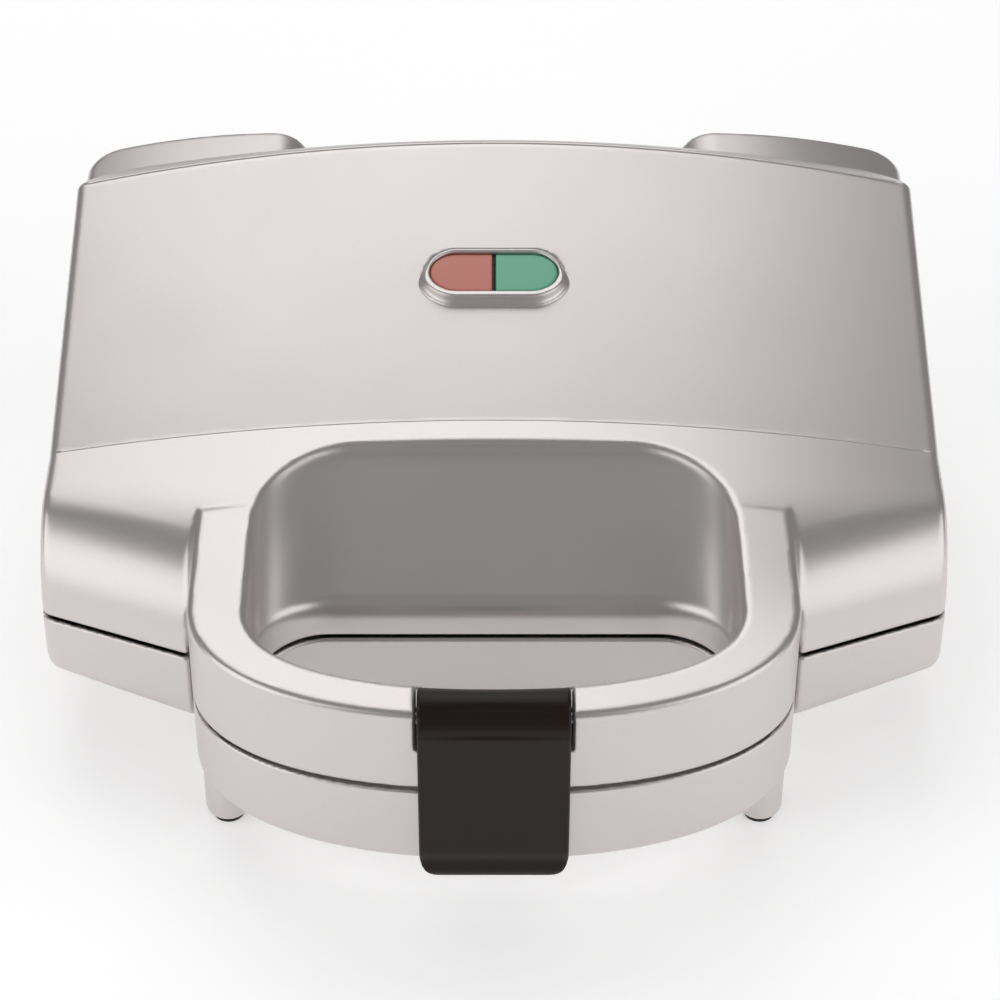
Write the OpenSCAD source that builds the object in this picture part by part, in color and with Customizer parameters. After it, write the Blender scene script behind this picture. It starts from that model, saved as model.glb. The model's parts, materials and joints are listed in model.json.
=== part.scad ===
// Two-slice sandwich toaster: a clamshell of two moulded shells with a split D-shaped handle loop,
// pocketed cooking plates, a hinged lid and a pivoting latch. Millimetres, +Z up, front towards -Y.

/* [Casing] */
// Width of the base shell
body_w = 236; // [228:1:260]
// Depth from the front shoulder corner to the rear wall
body_d = 142; // [138:1:160]
// How far the front wall comes forward at the handle
sweep = 16; // [8:1:22]
// Height of the parting plane above the table
seam_z = 40; // [38:1:50]
// Gap between lid and base along the parting plane
seam_gap = 0.8; // [0.6:0.1:1.4]
// Wall thickness of both shells
wall = 2.6; // [2:0.1:3]
// Plan radius of the rear corners
rear_r = 16; // [8:1:20]
// How much narrower the lid is than the base on each side
lid_step = 0.4; // [0.2:0.1:1]
// Depth of the base below the parting plane at its sides
base_h = 19; // [18:0.5:24]
// How far the underside bulges down in the middle
belly = 5.5; // [3:0.5:7]

/* [Lid] */
// Height of the lid's side at the front crease, above the parting plane
crease_h = 26.5; // [26:0.5:30]
// Distance of the front crease behind the shoulder corner
crease_v = 36; // [30:1:40]
// Distance of the rear crease behind the shoulder corner
back_crease_v = 127; // [120:1:130]
// Slope of the panel behind the front crease, in degrees
panel_tilt = 15.4; // [12:0.1:17]
// Slope of the deck in front of the crease, in degrees
deck_tilt = 2.5; // [1:0.1:4]
// Slope of the band behind the rear crease, in degrees
band_tilt = 25; // [15:1:30]
// Rise of the panel from its sides to its middle
panel_crown = 4.5; // [2:0.1:6]
// Rise of the deck from its sides to its middle
deck_crown = 6; // [4:0.1:8]
// Rise of the rear band from its sides to its middle
band_crown = 10.8; // [8:0.1:12]
// Radius of the rolled side edges of the lid
edge_r = 3; // [1.5:0.5:4]
// Radius of the rolled front shoulders
shoulder_r = 20; // [14:1:22]

/* [Handle loop] */
// Reach of the handle in front of the shoulder corner
reach = 65.2; // [60:0.5:75]
// Half width of the loop outside
loop_a = 76.5; // [72:0.5:80]
// Half width of the finger opening
open_a = 61.4; // [55:0.2:64]
// Width of the loop's band at the front
band_v = 11.2; // [10:0.2:16]
// Height of the upper half at the front, above the parting plane
grip_up = 25; // [22:0.5:27]
// Radius of the loop's outer edges
loop_r = 4; // [2:0.5:5]
// Squareness of the loop's front curve, 2 is an ellipse
loop_n = 2.3; // [2:0.1:3]
// Where the body's front wall stands in the finger opening
open_v = -8.3; // [-10:0.1:-7]
// Radius of the rolled wall at the back of the finger opening
scoop_r = 10; // [8:0.5:11]
// Slope of the scoop's floor behind the rolled wall, in degrees
scoop_tilt = 25.5; // [24.5:0.1:27]
// Height of the scoop's upright wall above the parting plane
scoop_h = 4; // [3:0.5:5]
// Plan radius of the opening's rear corners at the parting plane
nook_r = 18; // [12:1:20]
// Plan radius of the rim's rear corners
rim_r = 26; // [20:1:28]

/* [Hinge] */
// Distance of the hinge axis behind the rear wall
axis_back = 5; // [4:0.5:6]
// Height of the hinge axis above the parting plane
axis_h = 8; // [7:0.5:10]
// Outer radius of the hoods round the axis
hood_r = 10.5; // [10:0.5:12]
// Inner end of each hood
hood_x0 = 50; // [44:1:54]
// How far the hoods' outer ends stand inside the base's sides
hood_set = 1; // [0.8:0.1:3]
// Distance of the hinge bearings inside the hoods' outer ends
bearing_in = 10; // [9:0.5:16]
// Height of the hoods' tops above the parting plane
hood_top = 48; // [44:1:49]
// Thickness of the hoods' cheeks
cheek = 3; // [2.5:0.5:4]
// Diameter of the hinge pins
pin_d = 5; // [4:0.5:6]
// Running gap between the hinge barrels and the hoods
barrel_gap = 0.7; // [0.4:0.1:1]
// Wall of the hoods round the barrels
hood_wall = 2.2; // [2:0.1:2.5]
// Radial clearance of pins in their bores
fit_gap = 0.05; // [0.02:0.01:0.1]

/* [Latch] */
// Width of the latch
latch_w = 37; // [30:1:44]
// Distance of the latch pivot behind the handle's front
latch_set = 4.2; // [4:0.1:5]
// Radius of the latch's rolled top
latch_r = 7.5; // [7:0.5:8]
// Height of the latch pivot above the parting plane
latch_h = 21; // [19:0.5:22]
// Thickness of the latch's front
latch_t = 2.5; // [2:0.1:3]
// Diameter of the latch pin
latch_pin_d = 3; // [2.5:0.1:3.5]
// Running gap round the latch
latch_gap = 0.4; // [0.3:0.1:0.8]

/* [Cooking plates] */
// Clearance of the plates inside the casing's sides
plate_in = 4.5; // [4:0.1:8]
// Plan radius of the plates' rear corners
plate_r = 13; // [11:0.5:15]
// Thickness of a plate
plate_t = 3; // [2:0.1:4]
// Depth of the sandwich pockets
pocket_d = 11; // [8:0.5:12]
// Wall under a pocket
pocket_wall = 2; // [1.5:0.1:2.5]
// Diameter of the heating elements
heater_d = 6.5; // [5:0.1:7]
// Middle of a heating element inside the plate's edge
heater_in = 7; // [6:0.1:7.5]
// Thickness of the reflector sheets
shield_t = 0.8; // [0.5:0.1:1]
// Width of the straps over the heating elements
strap_w = 9; // [6:0.5:12]

/* [Indicator] */
// Length of the lens window
lens_w = 35; // [28:0.5:40]
// Height of the lens window along the panel
lens_d = 14.2; // [10:0.2:16]
// Width of the bezel's flat rim
bezel_rim = 2.2; // [1.5:0.1:3]
// How far the bezel stands above the panel
bezel_h = 3; // [1.5:0.1:4]
// Middle of the window behind the shoulder corner
lens_v = 88; // [70:1:100]

/* [Feet and inlet] */
// Radius of the foot posts
foot_r = 5.8; // [5:0.1:8]
// Height of the rubber pads below the posts
pad_t = 1; // [0.6:0.1:2]
// Radius of the cord inlet's bore
inlet_r = 3.6; // [3:0.1:4.5]

/* [Hidden] */

lid_w = body_w - 2 * lid_step;
half_gap = seam_gap / 2;
seat_gap = 0.3;
axis_v = body_d + axis_back;
hood_a = body_w / 2 - hood_set;
hood_x1 = hood_a - bearing_in;
barrel_r = hood_r - hood_wall - barrel_gap;
grip_down = base_h + belly;
latch_v = -reach + latch_set;
front_v = latch_v - latch_r;
back_v = axis_v + hood_r;
depth = back_v - front_v;
corner_y = -depth / 2 - front_v;
loop_vc = -24;
loop_b = reach + loop_vc;
hole_vc = -27;
hole_b = reach - band_v + hole_vc;
notch_v = open_v + 1.5;
scoop_foot_v = open_v + scoop_r * (1 - sin(scoop_tilt));
scoop_foot_h = scoop_h + scoop_r * cos(scoop_tilt);
plate_a = body_w / 2 - plate_in;
plate_v0 = notch_v + wall + 1;
plate_v1 = body_d - 6;
plate_back = half_gap + plate_t;
pan_x0 = 7;
pan_x1 = plate_a - 2 * heater_in + 0.5;
pan_v0 = plate_v0 + 2 * heater_in + 2;
pan_v1 = plate_v1 - 2 * heater_in - 2;
pan_back = half_gap + pocket_d + pocket_wall;
heater_x = plate_a - heater_in;
heater_v0 = plate_v0 + heater_in + 2;
heater_v1 = plate_v1 - heater_in - 2;
heater_h = plate_back + heater_d / 2 + 0.05;
bend_r = 12;
screw_v = [pan_v0 + 2, pan_v1 - 6];
boss_r = 4;
screw_r = 1.5;
shield_h = pan_back + seat_gap;
foot_x = [loop_a - 7.5, body_w / 2 - 26];
foot_v = [loop_vc - 7, body_d - 22];
fuse_r = 2.2;
fuse_v = (screw_v[0] + screw_v[1]) / 2 + 6;
block_size = [24, 11, 9];
block_at = [-50, heater_v1 - 5, -base_h + wall - 4.2];
lead_r = 1;
tail = 24;
gland_x = 30;
gland_h = -14.5;
gland_r = 5;
lamp_w = lens_w - lens_d;
silver = [0.80, 0.78, 0.77];
black = [0.13, 0.11, 0.10];
steel = [0.72, 0.72, 0.74];
coated = [0.16, 0.16, 0.17];

function deck_at(v) = grip_up + (v + reach) * tan(deck_tilt);
function panel_at(v) = crease_h + (v - crease_v) * tan(panel_tilt) + panel_crown / cos(panel_tilt);
// Depth at which the scoop's floor passes a plane that lies by d above the handle's top.
function scoop_at(d) = (deck_at(0) + d - scoop_foot_h + scoop_foot_v * tan(scoop_tilt))
    / (tan(scoop_tilt) - tan(deck_tilt));
function flip(pts) = [for (i = [len(pts) - 1:-1:0]) [-pts[i][0], pts[i][1]]];
function arc(cx, cy, r, a0, a1, n) =
    [for (i = [0:n]) let (a = a0 + (a1 - a0) * i / n) [cx + r * cos(a), cy + r * sin(a)]];
function power(c) = sign(c) * pow(abs(c), 2 / loop_n);

// Closed outline with a superelliptic front and two round rear corners, seen from above.
function loop(a, b, vc, v_back, r_back, m = 28, mc = 6) = concat(
    [for (i = [0:m]) let (t = 180 + 180 * i / m) [a * power(cos(t)), vc + b * power(sin(t))]],
    arc(a - r_back, v_back - r_back, r_back, 0, 90, mc),
    arc(-a + r_back, v_back - r_back, r_back, 90, 180, mc));

// An outline at a height that rises by a share of the deck's slope.
function ring(pts, h, share = 0) = [for (p = pts) [p[0], p[1], h + share * (p[1] + reach) * tan(deck_tilt)]];

// Solid between stacked rings, lowest first, that all have the same number of points.
module skin(rings) {
    n = len(rings[0]);
    k = len(rings);
    polyhedron(
        points = [for (r = rings) each r],
        faces = concat(
            [[for (i = [0:n - 1]) i]],
            [for (j = [0:k - 2]) for (i = [0:n - 1]) [j * n + i, (j + 1) * n + i, j * n + (i + 1) % n]],
            [for (j = [0:k - 2]) for (i = [0:n - 1])
                [(j + 1) * n + i, (j + 1) * n + (i + 1) % n, j * n + (i + 1) % n]],
            [[for (i = [n - 1:-1:0]) (k - 1) * n + i]]));
}

// The parting plane at the shoulder corners is the frame that every piece is drawn in.
module at_seam() translate([0, corner_y, seam_z]) children();

// Solid whose outline is drawn in depth and height, and which runs across the width.
module across(x0, x1) translate([x0, 0, 0]) rotate([90, 0, 90]) linear_extrude(x1 - x0) children();

// Solid whose outline is drawn in width and height, and which runs from front to back.
module along(v0, v1) translate([0, v1, 0]) rotate([90, 0, 0]) linear_extrude(v1 - v0) children();

// Cylinder along the width.
module rod(x0, x1, v, h, r, n = 48) translate([x0, v, h]) rotate([0, 90, 0])
    cylinder(r = r, h = x1 - x0, $fn = n);

module both() {
    children();
    mirror([1, 0, 0]) children();
}

// The lid's pieces are drawn above the parting plane, the base's the same way up side down.
module below() mirror([0, 0, 1]) children();

// Plan of a shell: swept shoulders in front, a notch beside the handle, round rear corners.
// The lid's plan reaches ahead of its shoulders, because a rolled wall ends them.
module plan(w, inset = 0, ahead = 0) {
    a = w / 2;
    half = concat([[loop_a - 1, notch_v], [loop_a + 2, -sweep - ahead], [a - 3, -1.2 - ahead], [a, 2]],
        arc(a - rear_r, body_d - rear_r, rear_r, 0, 90, 10));
    offset(delta = -inset) polygon(concat(half, flip(half)));
}

// Long bar with a crowned top and rolled edges, which leans by tilt about the height h at depth v.
module crowned(w, crown, tilt, v, h, inset = 0, r = edge_r) {
    a = w / 2 - inset;
    half = concat([[a + 9, -260], [a + 9, -r - 6]], arc(a - r, -r, r, 0, 84, 5),
        [for (i = [1:9]) let (x = (a - r) * (1 - i / 9)) [x, crown * (1 - pow(x / (a - r), 2))]]);
    left = flip(half);
    translate([0, v, h - inset]) rotate([90 + tilt, 0, 0]) translate([0, 0, -200])
        linear_extrude(400) polygon(concat(half, [for (i = [1:len(left) - 1]) left[i]]));
}

// Everything behind the rolled front shoulder of the right-hand side.
module shoulder(inset) {
    r = shoulder_r;
    foot = crease_h + 1 - r;
    pts = concat([[400, -60], [inset, -60]], arc(r, foot, r - inset, 180, 107, 9),
        [[400, foot + r - inset + 400 * tan(17)]]);
    translate([lid_w / 2, 0, 0]) rotate([0, 0, atan(sweep / (lid_w / 2 - loop_a - 2))])
        across(-300, 300) polygon(pts);
}

// Form of the lid without handle, hoods and scoop.
module lid_block(inset = 0) intersection() {
    translate([0, 0, half_gap - 2 * inset]) linear_extrude(90) plan(lid_w, inset, 4);
    union() {
        crowned(lid_w, panel_crown, panel_tilt, crease_v, crease_h, inset);
        crowned(lid_w, deck_crown, deck_tilt, crease_v, crease_h, inset);
    }
    crowned(lid_w, band_crown, -band_tilt, back_crease_v,
        crease_h + (back_crease_v - crease_v) * tan(panel_tilt), inset);
    shoulder(inset);
    mirror([1, 0, 0]) shoulder(inset);
}

// Upper half of the handle loop, its outer edge rounded; its rear is buried in the lid.
module grip_upper() skin(concat(
    [ring(loop(loop_a, loop_b, loop_vc, crease_v + 12, 10), half_gap)],
    [for (i = [0:4]) let (a = 90 * i / 4, s = loop_r * (1 - cos(a)))
        ring(loop(loop_a - s, loop_b - s, loop_vc, crease_v + 12, 10),
            grip_up - loop_r * (1 - sin(a)), 1)]));

// Finger opening and scoop: it runs straight up, rolls back into a slope and flares at the rim.
module scoop(grow = 0) {
    low = open_a - 1.4 + grow;
    turn = 90 - scoop_tilt;
    flare = concat([[0, -2.2]], grow > 0 ? [] : [[0.3, -1.1], [1.1, -0.3]], [[2.6, 0.4], [6, 11.8]]);
    skin(concat(
        [ring(loop(low, hole_b + grow, hole_vc, open_v + grow, nook_r), -60)],
        [for (i = [0:5]) let (a = turn * i / 5) ring(loop(low, hole_b + grow, hole_vc,
            open_v + grow + scoop_r * (1 - cos(a)), nook_r + 4 * i / 5),
            scoop_h - grow + scoop_r * sin(a))],
        [for (s = flare) ring(loop(open_a + grow + s[0], hole_b + grow + s[0], hole_vc,
            min(scoop_at(s[1]), scoop_at(0) + s[0]) + grow, rim_r), grip_up + s[1] - grow, 1)]));
}

// Side view of a hood: round about the axis, and from there up a box with a rolled top.
module hood_side() polygon(concat(arc(axis_v, axis_h, hood_r, -196, 0, 22),
    arc(back_v - 8, hood_top - 8, 8, 0, 80, 6),
    [[body_d - 18, hood_top + 0.8], [body_d - 18, axis_h + 3]]));

// Front view of a hood: its top falls away towards the lid's side.
module hood_front() polygon([[hood_x0, -20], [hood_a + 8, -20], [hood_a + 8, hood_top - 2.5],
    [hood_a - 22, hood_top - 0.8], [hood_x0 + 10, hood_top + 0.4], [hood_x0 + 5, hood_top - 0.6],
    [hood_x0, hood_top - 5]]);

// Plan of a hood: its rear sweeps round to the lid's side.
module hood_plan() {
    x = hood_x0 + 10;
    v = body_d - 14;
    polygon(concat([[hood_x0, body_d - 30]], arc(hood_x0 + 4, back_v - 4, 4, 180, 100, 4),
        [for (i = [0:12]) let (t = 90 - 7.5 * i)
            [x + (hood_a - x) * power(cos(t)), v + (back_v - v) * power(sin(t))]],
        [[hood_a, body_d - 30]]));
}

module hood() intersection() {
    across(hood_x0 - 5, hood_a + 5) hood_side();
    along(body_d - 24, back_v + 10) hood_front();
    translate([0, 0, -20]) linear_extrude(100) hood_plan();
}

// Room between a hood's cheeks for the barrel, open below and to the lid's inside.
module hood_room() across(hood_x0 + cheek, hood_x1 - cheek) polygon([
    [axis_v - hood_r + hood_wall, -9], [back_v + 3, -9], [back_v + 3, axis_h + 2.7],
    [back_v - hood_wall, axis_h + 2.7], [back_v - hood_wall, hood_top - 14],
    [back_v - 7, hood_top - 7], [axis_v - hood_r + hood_wall, hood_top - 7]]);

// Oblong outline with round ends.
module stadium(w, r) {
    translate([-w / 2, -r]) square([w, 2 * r]);
    translate([-w / 2, 0]) circle(r = r, $fn = 48);
    translate([w / 2, 0]) circle(r = r, $fn = 48);
}

// The middle of the indicator on the panel, with Z square to the panel.
module on_panel() translate([0, lens_v, panel_at(lens_v)]) rotate([panel_tilt, 0, 0]) children();

// Screw bosses on the middle line, up to the plate's back.
module bosses(top) for (v = screw_v) translate([0, v, plate_back]) cylinder(r = boss_r, h = top, $fn = 32);
module boss_holes() for (v = screw_v)
    translate([0, v, plate_back - 1]) cylinder(r = screw_r + fit_gap, h = 11, $fn = 24);

module lid_shell() color(silver) at_seam() difference() {
    union() {
        difference() {
            union() {
                lid_block();
                grip_upper();
                both() hood();
            }
            difference() {
                lid_block(wall);
                scoop(wall);
            }
            both() hood_room();
        }
        intersection() {
            lid_block(1);
            bosses(70);
        }
    }
    scoop();
    boss_holes();
    on_panel() translate([0, 0, -12]) linear_extrude(24) stadium(lamp_w, lens_d / 2 + 1.4);
    both() rod(hood_x0 - 1, hood_x1 + 1, axis_v, axis_h, pin_d / 2 + fit_gap);
    rod(-latch_w / 2 - latch_gap, latch_w / 2 + latch_gap, latch_v, latch_h, latch_r + latch_gap);
    rod(-latch_w / 2 - 7, latch_w / 2 + 7, latch_v, latch_h, latch_pin_d / 2 + fit_gap);
}

// Lower half of the handle loop.
module grip_lower() skin(concat(
    [for (i = [0:2]) let (a = 90 - 45 * i, s = 2.5 * (1 - cos(a)))
        ring(loop(loop_a - s, loop_b - s, loop_vc, crease_v + 12, 10),
            -grip_down - 0.7 + 2.5 * (1 - sin(a)))],
    [ring(loop(loop_a, loop_b, loop_vc, crease_v + 12, 10), -half_gap)]));

// The base's crowned underside and everything above it.
module belly_slab(inset = 0) below() crowned(body_w, belly, 0, 0, base_h, inset, 4);

module base_block(inset = 0) intersection() {
    translate([0, 0, -60]) linear_extrude(60 - half_gap + 2 * inset) plan(body_w, inset);
    belly_slab(inset);
}

// Barrel that a hinge pin runs through, on its bracket behind the rear wall.
module barrel() across(hood_x0 + cheek + 0.5, hood_x1 - cheek - 0.5) polygon(concat(
    arc(axis_v, axis_h, barrel_r, -100, 188, 36),
    [[body_d - 1.2, -1.4], [body_d - 1.2, -17], [axis_v - 1.5, -9]]));

module foot_post() {
    rotate_extrude($fn = 48)
        polygon(concat([[0, 20], [0, 0]], arc(foot_r - 3, 3, 3, 270, 360, 6), [[foot_r, 20]]));
}

module at_feet() both() for (i = [0:1]) translate([foot_x[i], foot_v[i], -seam_z]) children();

module base_shell() color(silver) at_seam() difference() {
    union() {
        difference() {
            union() {
                base_block();
                intersection() {
                    grip_lower();
                    belly_slab();
                }
            }
            difference() {
                base_block(wall);
                translate([0, 0, -60]) linear_extrude(80)
                    polygon(loop(open_a - 1.4 + wall, hole_b + wall, hole_vc, open_v + wall, nook_r));
            }
        }
        at_feet() translate([0, 0, pad_t]) foot_post();
        intersection() {
            base_block(1);
            below() bosses(40);
        }
        both() barrel();
    }
    translate([0, 0, -60]) linear_extrude(80)
        polygon(loop(open_a - 1.4, hole_b, hole_vc, open_v, nook_r));
    below() boss_holes();
    at_feet() cylinder(r = foot_r - 1.6, h = pad_t + 1, $fn = 48);
    both() rod(hood_x0 - 1, hood_x1 + 1, axis_v, axis_h, pin_d / 2 + fit_gap);
    both() {
        rod(hood_x0 - 0.3, hood_x0 + cheek + 0.3, axis_v, axis_h, hood_r + 0.5);
        rod(hood_x1 - cheek - 0.3, body_w / 2 + 5, axis_v, axis_h, hood_r + 0.5);
    }
    translate([gland_x, body_d - 8, gland_h]) rotate([-90, 0, 0])
        cylinder(r = gland_r + 0.1, h = 12, $fn = 48);
    for (i = [-3:3]) translate([i * 13 - 2, 60, -40]) cube([4, 34, 30]);
}

module latch_side() {
    top = -grip_down - latch_gap;
    translate([latch_v, latch_h]) circle(r = latch_r, $fn = 64);
    polygon(concat([[front_v, latch_h]], arc(front_v + 4, top - latch_t + 4, 4, 180, 270, 6),
        [[latch_v + 0.5, top - latch_t], [latch_v + 0.5, top]],
        arc(front_v + latch_t + 1.5, top + 1.5, 1.5, 270, 180, 4), [[front_v + latch_t, latch_h]]));
}

module latch_face() {
    bottom = -grip_down - latch_gap - latch_t;
    polygon(concat([[latch_w / 2, 40]], arc(latch_w / 2 - 4.6, bottom + 4.6, 4.6, 0, -90, 6),
        arc(-latch_w / 2 + 4.6, bottom + 4.6, 4.6, -90, -180, 6), [[-latch_w / 2, 40]]));
}

module latch() color(black) at_seam() difference() {
    intersection() {
        across(-latch_w / 2, latch_w / 2) latch_side();
        along(front_v - 5, 0) latch_face();
    }
    rod(-latch_w, latch_w, latch_v, latch_h, latch_pin_d / 2 + fit_gap);
}

module latch_pin() color(steel) at_seam()
    rod(-latch_w / 2 - 6.8, latch_w / 2 + 6.8, latch_v, latch_h, latch_pin_d / 2);

module hinge_pins() color(steel) at_seam() both()
    rod(hood_x0 + 0.2, hood_x1 - 0.2, axis_v, axis_h, pin_d / 2);

function oval(w, r) = concat(arc(w / 2, 0, r, -90, 90, 10), arc(-w / 2, 0, r, 90, 270, 10));

module lamp_bezel() color(silver) at_seam() on_panel() difference() {
    union() {
        skin([for (s = [[1.6, 0.02], [1.3, bezel_h - 0.8], [0.9, bezel_h - 0.2], [0.4, bezel_h]])
            [for (p = oval(lamp_w, lens_d / 2 + bezel_rim + s[0])) [p[0], p[1], s[1]]]]);
        translate([0, 0, -5]) linear_extrude(5.5) stadium(lamp_w, lens_d / 2 + 1.2);
    }
    translate([0, 0, -6]) linear_extrude(12) stadium(lamp_w, lens_d / 2 + 0.1);
}

// Half of the lens window, towards +X.
module half_lens() intersection() {
    translate([0, 0, bezel_h - 3]) linear_extrude(2.6) stadium(lamp_w, lens_d / 2);
    translate([0.5, -20, -20]) cube([40, 40, 40]);
}

module red_lens() color([0.78, 0.45, 0.40, 0.8]) at_seam() on_panel() mirror([1, 0, 0]) half_lens();
module green_lens() color([0.30, 0.65, 0.53, 0.8]) at_seam() on_panel() half_lens();

module lens_divider() color(black) at_seam() on_panel()
    translate([-0.5, -lens_d / 2, bezel_h - 4]) cube([1, lens_d, 3.7]);

module lamp_holder() color([0.85, 0.84, 0.80]) at_seam() on_panel() difference() {
    translate([0, 0, -11]) linear_extrude(6) stadium(lamp_w, lens_d / 2 + 1.2);
    for (x = [-lamp_w / 2, lamp_w / 2]) translate([x, 0, -9]) cylinder(r = 5, h = 12, $fn = 32);
}

module neon_lamps() color([0.9, 0.6, 0.4]) at_seam() on_panel()
    for (x = [-lamp_w / 2, lamp_w / 2]) translate([x, 0, -9]) cylinder(r = 2.6, h = 6, $fn = 32);

// One cooking plate, its face down at the parting plane.
module pan_corner(x, v, r0, r1, depth) translate([x, v, 0]) cylinder(r1 = r0, r2 = r1, h = depth, $fn = 32);

module plate() difference() {
    union() {
        translate([0, 0, half_gap]) linear_extrude(plate_t) polygon(concat(
            [[loop_a - 2, plate_v0], [loop_a + 4, plate_v0 - 1.5]],
            [[plate_a, plate_v0 + 6.5]], arc(plate_a - plate_r, plate_v1 - plate_r, plate_r, 0, 90, 8),
            arc(-plate_a + plate_r, plate_v1 - plate_r, plate_r, 90, 180, 8), [[-plate_a, plate_v0 + 6.5]],
            [[-loop_a - 4, plate_v0 - 1.5], [-loop_a + 2, plate_v0]]));
        both() translate([0, 0, half_gap]) hull() for (x = [pan_x0 + 8, pan_x1 - 8])
            for (v = [pan_v0 + 8, pan_v1 - 8]) pan_corner(x, v, 8, 4.5, pocket_d + pocket_wall);
    }
    both() for (s = [0, 1]) translate([0, 0, half_gap - 0.01]) hull() {
        x0 = pan_x0 + 9;
        x1 = pan_x1 - 9;
        v0 = pan_v0 + 9;
        v1 = pan_v1 - 9;
        pan_corner(s ? x0 + 2 : x0, s ? v1 : v1 - 13, 6, 2.5, pocket_d);
        pan_corner(s ? x1 : x1 - 2, s ? v0 + 13 : v0, 6, 2.5, pocket_d);
        pan_corner(s ? x1 : x0, s ? v1 : v0, 6, 2.5, pocket_d);
    }
    for (v = screw_v) translate([0, v, 0]) cylinder(r = screw_r + fit_gap, h = 20, $fn = 24);
    for (v = screw_v) translate([0, v, 0]) cylinder(r = 3.1, h = half_gap + 1.6, $fn = 24);
}

module lid_plate() color(coated) at_seam() plate();
module base_plate() color(coated) at_seam() below() plate();

module plate_screws() for (v = screw_v) translate([0, v, half_gap]) {
    difference() {
        cylinder(r = 2.9, h = 1.6, $fn = 24);
        translate([-0.4, -4, -1]) cube([0.8, 8, 1.7]);
    }
    translate([0, 0, 1]) cylinder(r = screw_r, h = 10, $fn = 24);
}

module lid_plate_screws() color(steel) at_seam() plate_screws();
module base_plate_screws() color(steel) at_seam() below() plate_screws();

// Quarter bend of a heating element, its middle at the origin.
module bend() rotate_extrude(angle = 90, $fn = 64) translate([bend_r, 0]) circle(r = heater_d / 2, $fn = 32);

// Tubular element: a loop round the pans with its two ends at the rear.
module heater() {
    r = heater_d / 2;
    x = heater_x - bend_r;
    translate([0, 0, heater_h]) {
        rod(-x, x, heater_v0, 0, r, 32);
        both() {
            translate([x, heater_v0 + bend_r, 0]) rotate([0, 0, -90]) bend();
            translate([heater_x, heater_v1 - bend_r, 0]) rotate([90, 0, 0])
                cylinder(r = r, h = heater_v1 - heater_v0 - 2 * bend_r, $fn = 32);
            translate([x, heater_v1 - bend_r, 0]) bend();
            rod(tail, x, heater_v1, 0, r, 32);
            rod(tail - 8, tail + 1, heater_v1, 0, 1.2, 32);
        }
    }
}

module lid_heater() color(steel) at_seam() heater();
module base_heater() color(steel) at_seam() below() heater();

// Strap over the element, its feet on the plate's back.
module clamp() rotate([90, 0, 0]) linear_extrude(strap_w, center = true) {
    r = heater_d / 2 + 0.1;
    difference() {
        union() {
            translate([0, heater_h]) circle(r = r + 0.8, $fn = 48);
            translate([-r - 2.25, plate_back]) square([2 * r + 4.5, 1]);
        }
        translate([0, heater_h]) circle(r = r, $fn = 48);
        translate([-r, plate_back - 1]) square([2 * r, heater_h - plate_back + 1]);
        translate([-2 * r, plate_back - 5]) square([4 * r, 5]);
    }
}

module clamps() both() {
    for (v = [heater_v0 + 30, heater_v1 - 30]) translate([heater_x, v, 0]) clamp();
    translate([40, heater_v0, 0]) rotate([0, 0, 90]) clamp();
}

module lid_clamps() color(steel) at_seam() clamps();
module base_clamps() color(steel) at_seam() below() clamps();

// Reflector sheet behind the pans, with holes round the bosses.
module shield() difference() {
    translate([-pan_x1 + 4, pan_v0 + 4, shield_h]) cube([2 * pan_x1 - 8, pan_v1 - pan_v0 - 8, shield_t]);
    for (v = screw_v) translate([0, v, 0]) cylinder(r = boss_r + 0.5, h = 40, $fn = 32);
}

module lid_shield() color(steel) at_seam() shield();
module base_shield() color(steel) at_seam() below() shield();

module thermostat() color([0.9, 0.88, 0.82]) at_seam() below() translate([0, heater_v1 + 1, plate_back])
    difference() {
        cylinder(r = 7, h = 8, $fn = 48);
        translate([0, 0, 6.5]) cylinder(r = 5, h = 3, $fn = 48);
    }

module thermal_fuse() color([0.8, 0.7, 0.5]) at_seam() below()
    translate([0, fuse_v, plate_back + fuse_r + 0.1]) rotate([90, 0, 0])
        cylinder(r = fuse_r, h = 14, $fn = 32);

module terminal_block() color([0.92, 0.9, 0.85]) at_seam() difference() {
    translate(block_at) cube(block_size);
    for (i = [-1:1]) translate(block_at + [block_size[0] / 2 + i * 8, block_size[1] / 2, 3.6])
        cylinder(r = 1.8, h = 12, $fn = 24);
}

module cord_gland() color(black) at_seam() translate([gland_x, body_d, gland_h]) rotate([-90, 0, 0])
    difference() {
        union() {
            translate([0, 0, -wall - 2]) cylinder(r = gland_r, h = wall + 4, $fn = 48);
            cylinder(r = gland_r + 1.5, h = 2.5, $fn = 48);
        }
        translate([0, 0, -10]) cylinder(r = inlet_r, h = 20, $fn = 48);
    }

module foot_pads() color([0.2, 0.2, 0.2]) at_seam() at_feet()
    cylinder(r = foot_r - 1.8, h = pad_t + 0.95, $fn = 48);

// Insulated lead through a list of points.
module lead(pts) for (i = [0:len(pts) - 2]) {
    d = pts[i + 1] - pts[i];
    translate(pts[i]) sphere(r = lead_r, $fn = 16);
    translate(pts[i]) rotate([0, acos(d[2] / norm(d)), atan2(d[1], d[0])])
        cylinder(r = lead_r, h = norm(d), $fn = 16);
}

module base_leads() color([0.75, 0.72, 0.68]) at_seam() {
    low = -base_h + wall - lead_r;
    x = block_at[0] + block_size[0] - 4;
    turn_v = screw_v[1] - 14;
    lead([[x, block_at[1] - 1.2 * lead_r, low], [x, turn_v, low], [0, turn_v, low], [0, fuse_v + 2, low]]);
}

module lid_leads() color([0.75, 0.72, 0.68]) at_seam() {
    top = panel_at(lens_v) - 12.5;
    turn_v = heater_v1 - bend_r;
    lead([[-8, lens_v, top], [-8, turn_v, top], [-60, turn_v, top], [-60, body_d - 8, top]]);
}

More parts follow.
